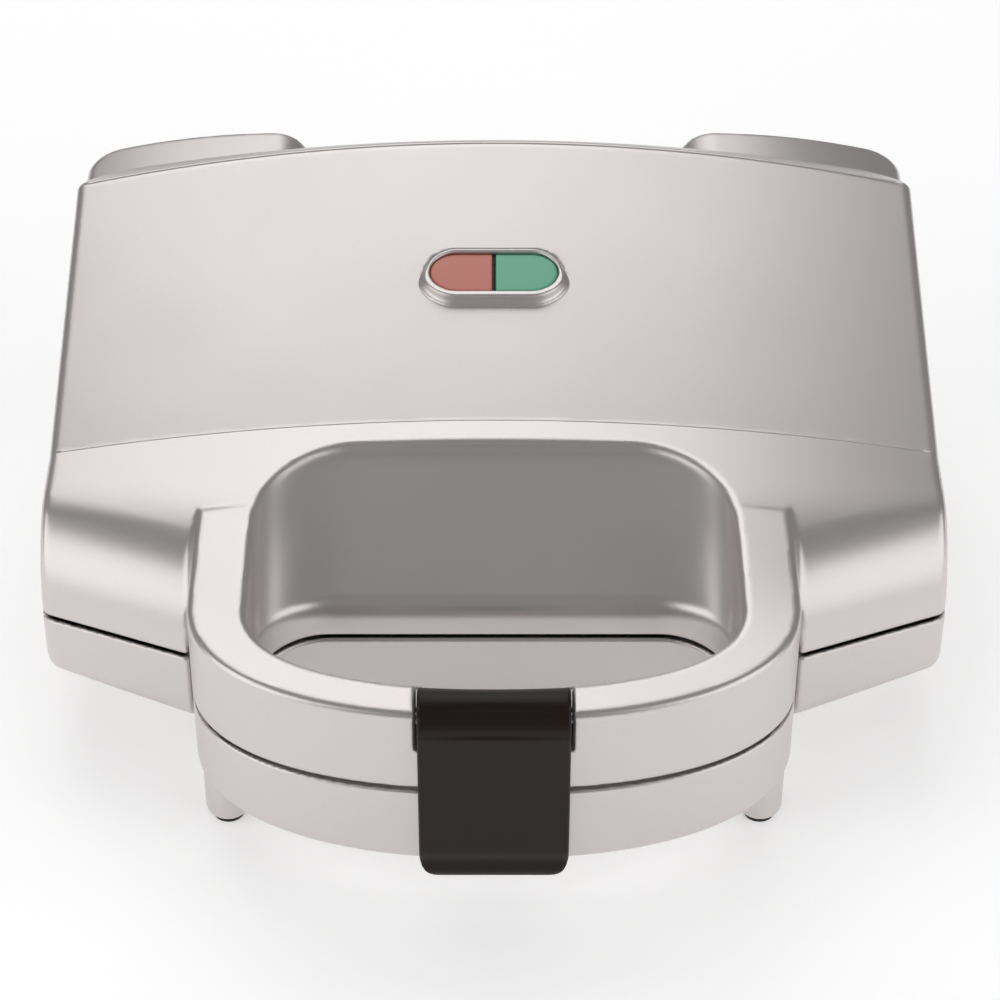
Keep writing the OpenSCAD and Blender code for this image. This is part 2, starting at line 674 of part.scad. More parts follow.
base_shell();
lid_shell();
latch();
latch_pin();
hinge_pins();
lamp_bezel();
red_lens();
green_lens();
lens_divider();
lamp_holder();
neon_lamps();
base_plate();
lid_plate();
base_heater();
lid_heater();
base_clamps();
lid_clamps();
base_shield();
lid_shield();
base_plate_screws();
lid_plate_screws();
thermostat();
thermal_fuse();
terminal_block();
cord_gland();
foot_pads();
base_leads();
lid_leads();
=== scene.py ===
import json
import math

import bpy
import numpy as np
from mathutils import Matrix, Vector


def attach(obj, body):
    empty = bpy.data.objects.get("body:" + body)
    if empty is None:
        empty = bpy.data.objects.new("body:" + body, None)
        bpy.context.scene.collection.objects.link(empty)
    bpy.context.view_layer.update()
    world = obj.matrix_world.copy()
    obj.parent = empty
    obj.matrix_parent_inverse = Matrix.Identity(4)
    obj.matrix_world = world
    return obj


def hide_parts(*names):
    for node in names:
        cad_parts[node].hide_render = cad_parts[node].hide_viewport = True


# Sandwich toaster in silver and black plastic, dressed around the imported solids.
# Forms are worked out in millimetres: x across, v backwards from the shoulder corners, h up from the seam.
# Values that the lid, the base and the latch share come first, and each piece's own stand beside its code.

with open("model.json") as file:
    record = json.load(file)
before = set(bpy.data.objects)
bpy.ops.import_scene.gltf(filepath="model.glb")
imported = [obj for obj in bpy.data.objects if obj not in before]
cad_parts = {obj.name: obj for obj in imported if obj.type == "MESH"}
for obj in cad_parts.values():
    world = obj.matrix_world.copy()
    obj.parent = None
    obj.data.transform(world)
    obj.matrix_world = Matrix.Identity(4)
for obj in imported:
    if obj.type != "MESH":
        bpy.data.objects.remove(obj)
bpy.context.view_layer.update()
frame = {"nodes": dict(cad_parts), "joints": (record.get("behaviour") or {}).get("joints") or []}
joints = {j["name"]: j for j in frame["joints"]}
print("frame loaded:", len(frame["nodes"]), "solids")

casing = {
    "width": 236.0,
    "lidInset": 0.4,        # the lid is this much narrower on each side
    "rearWall": 142.0,
    "sweep": 16.0,          # how far the front wall comes forward beside the handle
    "wall": 2.6,
    "seamGap": 0.8,
    "lidEdge": 1.1,         # height of the lid's lower edge, whose shadow draws the seam
    "lidEdgeRoll": 0.5,
    "rearRadius": 16.0,
}
loop = {
    "reach": 65.2,
    "halfWidth": 76.5,
    "opening": 61.4,
    "band": 11.2,
    "up": 25.0,
    "squareness": 2.3,
    "edgeRoll": 1.8,
    "end": 44.0,            # the loop's form runs on to here inside the casing
    "bodyWall": -8.3,
    "middle": -24.0,        # where the loop's front curve passes into its straight sides
    "holeMiddle": -27.0,
    "ledge": 1.4,           # the opening is this much narrower at the seam
    "nookRadius": 18.0,     # the opening's rear corners at the seam
}
hinge = {
    "back": 5.0,
    "height": 8.0,
    "hood": 10.5,
    "inner": 50.0,
    "outer": 107.0,
    "hoodHalf": 117.6,
    "hoodCorner": 9.5,
    "hoodInto": 18.0,       # how far the hoods reach into the lid
    "hoodWall": 2.2,        # the hood's rear wall
    "hoodFillet": 1.0,
    "top": 49.7,
    "fall": 0.0025,         # the hood's top falls outwards with the square of the distance
    "fallFrom": 12.0,
    "topRoll": 2.2,
    "innerRoll": 14.0,
    "roofDrop": 8.0,        # the hood's hollow ends this far below its top
    "wallStart": 2.7,       # and its rear wall starts this far above the axis
    "barrel": 7.6,
    "cheek": 3.0,
    "cheekPlay": 0.5,       # between the barrels' ends and the cheeks
    "sidePlay": 0.3,
    "turnPlay": 0.5,
    "pin": 2.6,
}

halfBase = casing["width"] / 2
halfLid = halfBase - casing["lidInset"]
halfGap = casing["seamGap"] / 2
axisV = casing["rearWall"] + hinge["back"]
hingeAt = joints["lid_hinge"]["pos_m"]
cornerY = hingeAt[1] * 1000 - axisV
seamZ = hingeAt[2] * 1000 - hinge["height"]


def sine(degrees):
    return math.sin(math.radians(degrees))


def cosine(degrees):
    return math.cos(math.radians(degrees))


def tangent(degrees):
    return math.tan(math.radians(degrees))


# Distance fields are negative inside a form and count millimetres from its surface.


def cutRound(a, b, radius):
    # what both forms share, its edge rolled to the radius
    flat = np.minimum(np.maximum(a, b), -radius)
    return flat + np.hypot(np.maximum(a + radius, 0), np.maximum(b + radius, 0))


def joinRound(a, b, radius):
    # both forms together, with a fillet of the radius between them
    return -cutRound(-a, -b, radius)


def softMeet(a, b, reach):
    # what both forms share where they meet at a flat angle, lowered by a quarter of the reach
    near = np.maximum(reach - np.abs(a - b), 0) / reach
    return np.maximum(a, b) + near * near * reach / 4


def rolledWall(u, h, radius, slope):
    # upright wall at u = 0 that rolls back over an arc into a slope, its arc starting at h = 0
    du = u - radius
    onArc = np.hypot(du, h) - radius
    onSlope = h * cosine(slope) - du * sine(slope) - radius
    return np.where(h < 0, -u, np.where(du < -tangent(slope) * h, onArc, onSlope))


def squareOval(a, b, halfA, halfB):
    # quarter of a superellipse, for distances a and b from its middle
    n = loop["squareness"]
    tiny = 1e-3
    leastSlope = 0.6 / halfA    # keeps the field even near the middle, where the curve's own slope dies
    a = np.maximum(a, tiny)
    b = np.maximum(b, 0)
    p = (a / halfA) ** n + (b / halfB) ** n
    g = p ** (1 / n)
    ga = p ** (1 / n - 1) * (a / halfA) ** (n - 1) / halfA
    gb = p ** (1 / n - 1) * (b / halfB) ** (n - 1) / halfB
    return (g - 1) / np.maximum(np.hypot(ga, gb), leastSlope)


def squareRound(x, v, halfWidth, halfDepth, middle):
    # outline of a loop: superellipse in front of the middle, straight sides behind it
    return squareOval(np.abs(x), middle - v, halfWidth, halfDepth)


def ramp(t):
    # eases from 0 to 1 while t goes from 0 to 1
    t = np.clip(t, 0, 1)
    return t * t * (3 - 2 * t)


cover = {
    "creaseHeight": 26.5,
    "creaseAt": 36.0,
    "rearCreaseAt": 127.0,
    "panelSlope": 15.4,
    "deckSlope": 2.5,
    "bandSlope": 25.0,
    "panelCrown": 4.5,
    "deckCrown": 6.0,
    "bandCrown": 10.8,
    "sideRoll": 3.0,
    "bandRoll": 1.2,        # softens the rear crease
    "sideEdge": 2.2,
    "shoulderRoll": 28.0,
    "shoulderSlope": 17.5,
    "shoulderRise": 1.5,    # the shoulder's arc ends this far above the crease height
    "shoulderEase": 1.8,    # over this reach the shoulder runs into the deck
    "notchEdge": 1.1,
}
panelPlane = (cover["creaseHeight"], cover["creaseAt"], cover["panelSlope"], cover["panelCrown"])
deckPlane = (cover["creaseHeight"], cover["creaseAt"], cover["deckSlope"], cover["deckCrown"])
creasesApart = cover["rearCreaseAt"] - cover["creaseAt"]
rearCreaseHeight = cover["creaseHeight"] + creasesApart * tangent(cover["panelSlope"])
bandPlane = (rearCreaseHeight, cover["rearCreaseAt"], -cover["bandSlope"], cover["bandCrown"])


def crownAcross(x):
    return 1 - (x / (halfLid - cover["sideRoll"])) ** 2


def tiltedTop(x, v, h, height, at, slope, crown):
    return (h - height - (v - at) * tangent(slope)) * cosine(slope) - crown * crownAcross(x)


def topHeight(x, v, height, at, slope, crown):
    return height + (v - at) * tangent(slope) + crown * crownAcross(x) / cosine(slope)


# the return's ends, counted from the handle's side and the body's wall
notch = {"startAside": -1.0, "startBehind": 1.5, "endAside": 2.0}


def notchWall(ax, v):
    # the return beside the handle, where the shoulder ends in a sharp upright edge
    a0, v0 = loop["halfWidth"] + notch["startAside"], loop["bodyWall"] + notch["startBehind"]
    a1, v1 = loop["halfWidth"] + notch["endAside"], -casing["sweep"]
    size = math.hypot(a1 - a0, v1 - v0)
    return np.minimum(v0 - v, ((ax - a0) * (v1 - v0) - (v - v0) * (a1 - a0)) / size)


def lidBlock(x, v, h):
    ax = np.abs(x)
    sides = cutRound(ax - halfLid, v - casing["rearWall"], casing["rearRadius"])
    panel = tiltedTop(x, v, h, *panelPlane)
    deck = tiltedTop(x, v, h, *deckPlane)
    band = tiltedTop(x, v, h, *bandPlane)
    top = cutRound(np.minimum(panel, deck), band, cover["bandRoll"])
    turn = math.atan2(casing["sweep"], halfLid - loop["halfWidth"] - notch["endAside"])
    behind = (halfLid - ax) * math.sin(turn) + v * math.cos(turn)
    arcFoot = cover["creaseHeight"] + cover["shoulderRise"] - cover["shoulderRoll"]
    shoulder = rolledWall(behind, h - arcFoot, cover["shoulderRoll"], cover["shoulderSlope"])
    upper = softMeet(top, shoulder, cover["shoulderEase"])
    rolled = cutRound(sides, upper, cover["sideEdge"])
    return cutRound(rolled, notchWall(ax, v), cover["notchEdge"]), upper


handle = {
    "swellFrom": -50.0,     # from here on the handle's top swells up to the deck's height
    "swellOver": 43.0,
    "fillet": 2.2,          # between the handle's upper edge and the shoulder
    "leastFillet": 0.3,     # what stays of it further back and near the seam
    "filletEnd": 8.0,
    "filletFade": 10.0,
    "filletFoot": 6.0,
    "filletRise": 12.0,
    "sink": 0.4,            # behind the shoulder the handle's top passes below the deck
    "sinkFrom": 8.0,
    "sinkOver": 6.0,
    "freeEnd": 12.0,        # in front of this it may rise over the shoulder
    "freeRise": 0.06,
    "holeEdge": 2.2,        # roll of the opening's edge on the handle
    "holeEdgeLoss": 1.0,    # and how much less on the deck
    "thinFrom": -5.0,
    "thinOver": 30.0,
}


def gripUpper(x, v, h):
    # the handle's top rises into the deck, so that no step shows between them
    outline = squareRound(x, v, loop["halfWidth"], loop["reach"] + loop["middle"], loop["middle"])
    slope = cover["deckSlope"]
    plane = loop["up"] + (v + loop["reach"]) * tangent(slope)
    swell = ramp((v - handle["swellFrom"]) / handle["swellOver"]) * (topHeight(x, v, *deckPlane) - plane)
    top = (h - plane - swell) * cosine(slope)
    return np.maximum(cutRound(outline, top, loop["edgeRoll"]), v - loop["end"])


scoopForm = {
    "wall": 6.5,            # height of the upright part
    "roll": 6.0,
    "slope": 25.5,
    "rim": 32.4,            # where the slope ends on the deck
    "rimHeight": 30.0,
    "rimLean": 0.4,
    "rimEase": 2.0,
    "riseFrom": 4.0,        # the plan widens and rounds over this height
    "riseOver": 20.0,
    "rimRadius": 26.0,
}


def scoop(x, v, h):
    # finger opening: an upright wall rolls back into a slope; the outline is round in plan at every height
    roll, slope = scoopForm["roll"], scoopForm["slope"]
    knee = roll * cosine(slope)
    t = np.maximum(h - scoopForm["wall"], 0)
    low = np.minimum(t, knee)
    across = np.sqrt(roll ** 2 - low ** 2)
    back = loop["bodyWall"] + roll - across + (t - low) / tangent(slope)
    lean = np.where(t < knee, low / across, 1 / tangent(slope))
    rim = scoopForm["rim"] + scoopForm["rimLean"] * (h - scoopForm["rimHeight"])
    apart = np.sqrt((back - rim) ** 2 + scoopForm["rimEase"])
    lean = lean * (1 - (back - rim) / apart) / 2
    back = (back + rim - apart) / 2
    rise = ramp((h - scoopForm["riseFrom"]) / scoopForm["riseOver"])
    half = loop["opening"] - loop["ledge"] * (1 - rise)
    sides = squareRound(x, v, half, loop["reach"] - loop["band"] + loop["holeMiddle"], loop["holeMiddle"])
    corner = loop["nookRadius"] + (scoopForm["rimRadius"] - loop["nookRadius"]) * rise
    u = np.maximum(sides + corner, 0)
    w = np.maximum(v - back + corner, 0)
    plan = np.minimum(np.maximum(sides, v - back), -corner) + np.hypot(u, w)
    return plan / np.sqrt(1 + lean ** 2 * w * w / np.maximum(u * u + w * w, 1e-6))


def hood(x, v, h):
    ax = np.abs(x)
    rear = cutRound(ax - hinge["hoodHalf"], v - axisV - hinge["hood"], hinge["hoodCorner"])
    under = np.hypot(v - axisV, h - hinge["height"]) - hinge["hood"]
    rear = np.maximum(rear, np.where(h < hinge["height"], under, casing["rearWall"] - hinge["hoodInto"] - v))
    top = h - hinge["top"] + hinge["fall"] * np.maximum(ax - hinge["inner"] - hinge["fallFrom"], 0) ** 2
    return cutRound(cutRound(rear, top, hinge["topRoll"]), hinge["inner"] - ax, hinge["innerRoll"])


def hoodRoom(x, v, h):
    # hollow of a hood, in which the barrel turns
    ax = np.abs(x)
    back = axisV + hinge["hood"] - hinge["hoodWall"]
    ends = np.maximum(hinge["inner"] + hinge["cheek"] - ax, ax - hinge["outer"] + hinge["cheek"])
    high = np.maximum(h - hinge["top"] + hinge["roofDrop"], v - back)
    front = axisV - hinge["hood"] + hinge["hoodWall"] - v
    return np.maximum(np.maximum(ends, front), np.minimum(h - hinge["height"] - hinge["wallStart"], high))


lamps = {
    "at": 89.5,
    "length": 35.0,
    "depth": 15.0,
    "rim": 2.1,
    "flange": 3.8,
    "stand": 3.1,           # height of the frame's front above the panel
    "lean": 0.15,           # how much lower each millimetre further back
    "split": 0.9,
}
bezel = {
    "backRim": 0.4,         # the frame narrows towards its rear edge
    "backFlange": 0.8,
    "frontFrom": 6.0,
    "frontOver": 11.0,
    "draft": 0.3,
    "ringRoll": 0.5,
    "flangeHeight": 0.3,
    "flangeRoll": 0.25,
    "fillet": 1.0,
    "sunk": 0.7,
    "sleeve": 1.2,          # the tube behind the frame that holds the lenses
    "sleeveTop": 1.0,
    "sleeveDepth": 5.0,
    "play": 0.15,
    "innerRoll": 0.35,
}
lensForm = {"sunk": 0.5, "dome": 0.35, "domeOver": 4.0, "edge": 0.5, "play": 0.02, "depth": 0.5}
dividerForm = {"sunk": 0.6, "edge": 0.15}


def onPanel(x, v, h):
    # distance outside the lens window's stadium outline, place up the panel, height above it
    slope = cover["panelSlope"]
    back, over = v - lamps["at"], h - topHeight(0, lamps["at"], *panelPlane)
    up = back * cosine(slope) + over * sine(slope)
    straight = (lamps["length"] - lamps["depth"]) / 2
    outside = np.hypot(np.maximum(np.abs(x) - straight, 0), up) - lamps["depth"] / 2
    return outside, up, over * cosine(slope) - back * sine(slope)


def frontHeight(up, sunk):
    # the frame's leaning front, or a face that lies sunk below it
    return lamps["stand"] - sunk - lamps["lean"] * (up + lamps["depth"] / 2 + lamps["rim"])


def bezelField(x, v, h):
    outside, up, z = onPanel(x, v, h)
    top = frontHeight(up, 0)
    drop = np.maximum(top - z, 0)
    front = ramp((bezel["frontFrom"] - up) / bezel["frontOver"])
    ringSide = outside - bezel["backRim"] - (lamps["rim"] - bezel["backRim"]) * front - bezel["draft"] * drop
    ring = cutRound(ringSide, z - top, bezel["ringRoll"])
    flangeSide = outside - bezel["backFlange"] - (lamps["flange"] - bezel["backFlange"]) * front
    flange = cutRound(flangeSide, z - bezel["flangeHeight"], bezel["flangeRoll"])
    frameForm = np.maximum(joinRound(ring, flange, bezel["fillet"]), -z - bezel["sunk"])
    sleeve = np.maximum(outside - bezel["sleeve"], -z - bezel["sleeveDepth"])
    sleeve = np.maximum(sleeve, z - bezel["sleeveTop"])
    return cutRound(np.minimum(frameForm, sleeve), bezel["play"] - outside, bezel["innerRoll"])


def lensField(x, v, h):
    # one half of the window, on the side where x is positive
    outside, up, z = onPanel(x, v, h)
    dome = lensForm["dome"] * np.clip(-outside / lensForm["domeOver"], 0, 1) ** 0.5
    slab = cutRound(outside + lensForm["play"], z - frontHeight(up, lensForm["sunk"]) - dome, lensForm["edge"])
    return np.maximum(np.maximum(slab, -z - lensForm["depth"]), lamps["split"] / 2 - x)


def dividerField(x, v, h):
    outside, up, z = onPanel(x, v, h)
    side = np.abs(x) - lamps["split"] / 2 + lensForm["play"]
    bar = cutRound(side, z - frontHeight(up, dividerForm["sunk"]), dividerForm["edge"])
    return np.maximum(bar, np.maximum(outside, -z - lensForm["depth"]))


windowHole = {"margin": 1.4, "above": 30.0}     # the lid's opening under the frame, cut down to this height


def lidField(x, v, h):
    block, upper = lidBlock(x, v, h)
    hollow = scoop(x, v, h)
    room = np.maximum(block + casing["wall"], casing["wall"] - hollow)
    fade = ramp((handle["filletEnd"] - v) / handle["filletFade"])
    rise = ramp((h - handle["filletFoot"]) / handle["filletRise"])
    fillet = handle["leastFillet"] + handle["fillet"] * fade * rise
    sink = handle["sink"] * ramp((v - handle["sinkFrom"]) / handle["sinkOver"])
    free = handle["freeRise"] * np.maximum(handle["freeEnd"] - v, 0) ** 2
    grip = np.maximum(gripUpper(x, v, h), upper + sink - free)
    shell = np.maximum(joinRound(block, grip, fillet), -room)
    edge = handle["holeEdge"] - handle["holeEdgeLoss"] * ramp((v - handle["thinFrom"]) / handle["thinOver"])
    shell = cutRound(shell, -hollow, edge)
    shell = cutRound(shell, casing["lidEdge"] - h, casing["lidEdgeRoll"])
    covers = np.maximum(hood(x, v, h), -block - casing["wall"])
    shell = joinRound(shell, covers, hinge["hoodFillet"])
    shell = np.maximum(shell, -hoodRoom(x, v, h))
    window = np.maximum(onPanel(x, v, h)[0] - windowHole["margin"], windowHole["above"] - h)
    recess = np.maximum(np.hypot(v - latchV, h - latch["height"]) - latch["roll"] - latch["gap"],
                        np.abs(x) - latch["width"] / 2 - latch["gap"])
    pinBore = np.hypot(v - axisV, h - hinge["height"]) - hinge["pin"]
    return np.maximum(np.maximum(shell, -window), np.maximum(-recess, -pinBore))


tray = {
    "depth": 19.0,
    "belly": 5.5,           # how much deeper the middle hangs
    "bellyInset": 4.0,
    "corner": 3.5,
    "roll": 4.0,
    "loopRoll": 3.0,
    "notchEdge": 0.8,
    "rim": 1.4,             # the upper rim is this wide, and steps down inside it
    "rimRoll": 0.9,
    "rebate": 2.6,
}
feet = {
    "radius": 5.8,
    "places": [(69.0, -31.0), (92.0, 120.0)],
    "pad": 1.0,             # thickness of the rubber that shows below
    "roll": 3.0,
    "fillet": 1.0,
    "top": -18.0,
}
# the brackets that hold the barrels behind the rear wall
bracket = {
    "into": 1.2,
    "behind": 5.5,
    "bow": 0.35,
    "under": 17.0,
    "underSlope": (0.8, 0.6),
    "top": 4.0,
    "fillet": 2.0,
    "edge": 0.8,
}
vents = {"spacing": 13.0, "halfWidth": 2.0, "reach": 41.0, "middle": 77.0, "halfLength": 17.0, "top": -14.0}
cordInlet = {"aside": 30.0, "height": -14.5, "radius": 5.1, "depth": 8.0}     # hole for the cord's bush


def baseBlock(x, v, h):
    ax = np.abs(x)
    sides = cutRound(ax - halfBase, v - casing["rearWall"], casing["rearRadius"])
    turn = math.atan2(casing["sweep"], halfBase - loop["halfWidth"] - notch["endAside"])
    front = -((halfBase - ax) * math.sin(turn) + v * math.cos(turn))
    sides = cutRound(sides, front, tray["corner"])
    return cutRound(cutRound(sides, bottomSkin(x, h), tray["roll"]), notchWall(ax, v), tray["notchEdge"])


def bottomSkin(x, h):
    across = 1 - (x / (halfBase - tray["bellyInset"])) ** 2
    return -h - tray["depth"] - tray["belly"] * across


def foot(x, v, h, atX, atV):
    post = np.hypot(np.abs(x) - atX, v - atV) - feet["radius"]
    return np.maximum(cutRound(post, feet["pad"] - seamZ - h, feet["roll"]), h - feet["top"])


def barrels(x, v, h):
    # the hinge's barrels on their brackets behind the rear wall
    ax = np.abs(x)
    innerEnd = hinge["inner"] + hinge["cheek"] + hinge["cheekPlay"] - ax
    outerEnd = ax - hinge["outer"] + hinge["cheek"] + hinge["cheekPlay"]
    barrel = np.hypot(v - axisV, h - hinge["height"]) - hinge["barrel"]
    front = casing["rearWall"] - bracket["into"] - v
    back = v - axisV - bracket["behind"] + bracket["bow"] * np.abs(h - hinge["height"])
    down, out = bracket["underSlope"]
    under = (-h - bracket["under"]) * down + (v - casing["rearWall"]) * out
    neck = np.maximum(np.maximum(front, back), np.maximum(h - bracket["top"], under))
    return cutRound(joinRound(barrel, neck, bracket["fillet"]), np.maximum(innerEnd, outerEnd), bracket["edge"])


def cheekRoom(x, v, h):
    # cleared for the hoods' cheeks, which turn about the axis
    ax = np.abs(x)
    inner = np.abs(ax - hinge["inner"] - hinge["cheek"] / 2) - hinge["cheek"] / 2 - hinge["sidePlay"]
    outer = hinge["outer"] - hinge["cheek"] - hinge["sidePlay"] - ax
    turning = np.hypot(v - axisV, h - hinge["height"]) - hinge["hood"] - hinge["turnPlay"]
    return np.maximum(turning, np.minimum(inner, outer))


def baseField(x, v, h):
    block = baseBlock(x, v, h)
    outline = squareRound(x, v, loop["halfWidth"], loop["reach"] + loop["middle"], loop["middle"])
    grip = np.maximum(cutRound(outline, bottomSkin(x, h), tray["loopRoll"]), v - loop["end"])
    hole = squareRound(x, v, loop["opening"] - loop["ledge"], loop["reach"] - loop["band"] + loop["holeMiddle"],
                       loop["holeMiddle"])
    hole = cutRound(hole, v - loop["bodyWall"], loop["nookRadius"])
    room = np.maximum(block + casing["wall"], casing["wall"] - hole)
    outer = np.maximum(np.minimum(block, grip), -hole)
    rebate = np.maximum(outer + tray["rim"], -h - tray["rebate"])
    solid = np.maximum(np.maximum(np.minimum(block, grip), -room), -rebate)
    for atX, atV in feet["places"]:
        solid = joinRound(solid, foot(x, v, h, atX, atV), feet["fillet"])
    solid = cutRound(np.maximum(solid, -cheekRoom(x, v, h)), h + halfGap, tray["rimRoll"])
    solid = cutRound(np.minimum(solid, barrels(x, v, h)), -hole, tray["rimRoll"])
    pitch = vents["spacing"]
    slots = np.abs((x + pitch / 2) % pitch - pitch / 2) - vents["halfWidth"]
    slots = np.maximum(slots, np.abs(x) - vents["reach"])
    slots = np.maximum(slots, np.abs(v - vents["middle"]) - vents["halfLength"])
    slots = np.maximum(slots, h - vents["top"])
    inlet = np.hypot(x - cordInlet["aside"], h - cordInlet["height"]) - cordInlet["radius"]
    inlet = np.maximum(inlet, casing["rearWall"] - cordInlet["depth"] - v)
    pinBore = np.hypot(v - axisV, h - hinge["height"]) - hinge["pin"]
    return np.maximum(np.maximum(solid, -slots), np.maximum(-inlet, -pinBore))


latch = {
    "width": 37.0,
    "roll": 7.4,            # radius of the rolled top round the pin
    "height": 21.0,
    "set": 4.2,
    "thickness": 2.5,
    "gap": 0.4,
    "bow": 0.45,            # how far the roll's middle stands back
    "toeRoll": 3.6,
    "toeInside": 1.6,
    "lap": 0.5,
    "join": 0.3,
    "grooveAbove": 6.0,     # fine groove across the front, above the pin
    "grooveDepth": 0.25,
    "grooveSpread": 0.4,
    "hollowAbove": 6.5,     # broad hollow above the toe
    "hollowDepth": 0.7,
    "hollowSpread": 2.2,
    "frontOnly": 1.0,       # groove and hollow end this far in front of the pin
    "corner": 7.5,
    "edge": 0.7,
    "pin": 1.7,
}
latchV = latch["set"] - loop["reach"]


def latchField(x, v, h):
    front = latchV - latch["roll"]
    low = -tray["depth"] - tray["belly"] - latch["gap"] - latch["thickness"]
    bow = latch["bow"] * (1 - (2 * x / latch["width"]) ** 2)
    rolled = np.hypot(v - latchV, h - latch["height"]) - latch["roll"] + bow
    outer = rolledBack(v - front, h - low, latch["toeRoll"])
    inner = rolledBack(v - front - latch["thickness"], h - low - latch["thickness"], latch["toeInside"])
    ends = np.maximum(h - latch["height"], v - latchV - latch["lap"])
    plate = np.maximum(np.maximum(outer, -inner), ends)
    overGroove = (h - latch["height"] - latch["grooveAbove"]) / latch["grooveSpread"]
    overHollow = (h - low - latch["hollowAbove"]) / latch["hollowSpread"]
    sunk = latch["grooveDepth"] * np.exp(-overGroove ** 2) + latch["hollowDepth"] * np.exp(-overHollow ** 2)
    body = joinRound(rolled, plate, latch["join"]) + sunk * (v < latchV - latch["frontOnly"])
    corner = cutRound(np.abs(x) - latch["width"] / 2, low - h, latch["corner"])
    pinBore = np.hypot(v - latchV, h - latch["height"]) - latch["pin"]
    return np.maximum(cutRound(body, corner, latch["edge"]), -pinBore)


def rolledBack(v, h, radius):
    # positive ahead of an upright plane at v = 0 that turns under at h = 0
    return cutRound(-v, -h, radius)


def gridAlong(low, high, step, fineAt=None, fineStep=0.3, fineHalf=1.5):
    # evenly spaced planes, closer together round one height
    if fineAt is None:
        return np.linspace(low, high, int(math.ceil((high - low) / step)) + 1)
    first, last = fineAt - fineHalf, fineAt + fineHalf
    parts = [(low, first, step), (first, last, fineStep), (last, high, step)]
    rows = [np.linspace(a, b, max(1, int(math.ceil((b - a) / s))) + 1)[:-1] for a, b, s in parts if b > a]
    return np.concatenate(rows + [[high]])


def netMesh(name, field, low, high, step, fineAt=None):
    # one point in each cell that the surface crosses, then every point is drawn onto the surface
    rounds, nudge, leastSteep, longest = 4, 0.02, 0.05, 0.4 * step
    axes = [gridAlong(low[i], high[i], step, fineAt if i == 2 else None) for i in range(3)]
    value = field(axes[0][:, None, None], axes[1][None, :, None], axes[2][None, None, :])
    value = np.broadcast_to(value, tuple(len(a) for a in axes))
    inside = value < 0
    size = [len(a) - 1 for a in axes]
    corners = [(i, j, k) for i in (0, 1) for j in (0, 1) for k in (0, 1)]
    count = sum(inside[i:size[0] + i, j:size[1] + j, k:size[2] + k].astype(np.int8) for i, j, k in corners)
    cells = np.argwhere((count > 0) & (count < 8))
    index = np.full(size, -1, dtype=np.int64)
    index[tuple(cells.T)] = np.arange(len(cells))
    total = np.zeros((len(cells), 3))
    hits = np.zeros(len(cells))
    for c in corners:
        for axis in range(3):
            if c[axis]:
                continue
            d = list(c)
            d[axis] = 1
            a = value[tuple((cells + c).T)]
            b = value[tuple((cells + d).T)]
            crossed = (a < 0) != (b < 0)
            t = np.where(crossed, a / np.where(crossed, a - b, 1), 0)
            point = np.array(c, dtype=float) + t[:, None] * (np.array(d) - np.array(c))
            total += point * crossed[:, None]
            hits += crossed
    atCell = cells + total / hits[:, None]
    points = np.stack([np.interp(atCell[:, i], np.arange(len(axes[i])), axes[i]) for i in range(3)], axis=1)
    aside = nudge * np.eye(3)
    for _ in range(rounds):
        f = field(*points.T)
        slope = np.stack([field(*(points + aside[i]).T) - field(*(points - aside[i]).T)
                          for i in range(3)], axis=1) / (2 * nudge)
        move = f[:, None] * slope / np.maximum((slope ** 2).sum(axis=1), leastSteep)[:, None]
        far = np.linalg.norm(move, axis=1)
        points -= move * np.minimum(1, longest / np.maximum(far, 1e-9))[:, None]
    faces = []
    for axis in range(3):
        u, w = (axis + 1) % 3, (axis + 2) % 3
        lowSide = [slice(None)] * 3
        highSide = [slice(None)] * 3
        lowSide[axis] = slice(0, size[axis])
        highSide[axis] = slice(1, size[axis] + 1)
        change = inside[tuple(lowSide)].astype(np.int8) - inside[tuple(highSide)].astype(np.int8)
        edges = np.argwhere(change != 0)
        ok = (edges[:, u] > 0) & (edges[:, w] > 0) & (edges[:, u] < size[u]) & (edges[:, w] < size[w])
        edges = edges[ok]
        flip = change[tuple(edges.T)] < 0
        quad = []
        for du, dw in ((1, 1), (0, 1), (0, 0), (1, 0)):
            cell = edges.copy()
            cell[:, u] -= du
            cell[:, w] -= dw
            quad.append(index[tuple(cell.T)])
        quad = np.stack(quad, axis=1)
        quad[flip] = quad[flip][:, ::-1]
        faces.append(quad)
    faces = np.concatenate(faces)
    place = np.array([0, cornerY, seamZ])
    mesh = bpy.data.meshes.new(name)
    mesh.vertices.add(len(points))
    mesh.vertices.foreach_set("co", ((points + place) / 1000).astype(np.float32).ravel())
    mesh.loops.add(faces.size)
    mesh.loops.foreach_set("vertex_index", faces.astype(np.int32).ravel())
    mesh.polygons.add(len(faces))
    mesh.polygons.foreach_set("loop_start", np.arange(0, faces.size, 4, dtype=np.int32))
    mesh.polygons.foreach_set("use_smooth", np.ones(len(faces), dtype=bool))
    mesh.update()
    mesh.validate()
    piece = bpy.data.objects.new(name, mesh)
    bpy.context.scene.collection.objects.link(piece)
    print("  %s: %d faces" % (name, len(faces)))
    return piece


def linear(hexColour):
    channels = [int(hexColour[i:i + 2], 16) / 255 for i in (0, 2, 4)]
    return [c / 12.92 if c <= 0.04045 else ((c + 0.055) / 1.055) ** 2.4 for c in channels] + [1.0]


def addNode(tree, kind, settings=None, links=None):
    # a node with its settings, by name or by an input's number, and links from other nodes' outputs
    node = tree.nodes.new(kind)
    for key, value in (settings or {}).items():
        if isinstance(key, int) or key in node.inputs:
            node.inputs[key].default_value = value
        else:
            setattr(node, key, value)
    for key, source in (links or {}).items():
        tree.links.new(source, node.inputs[key])
    return node


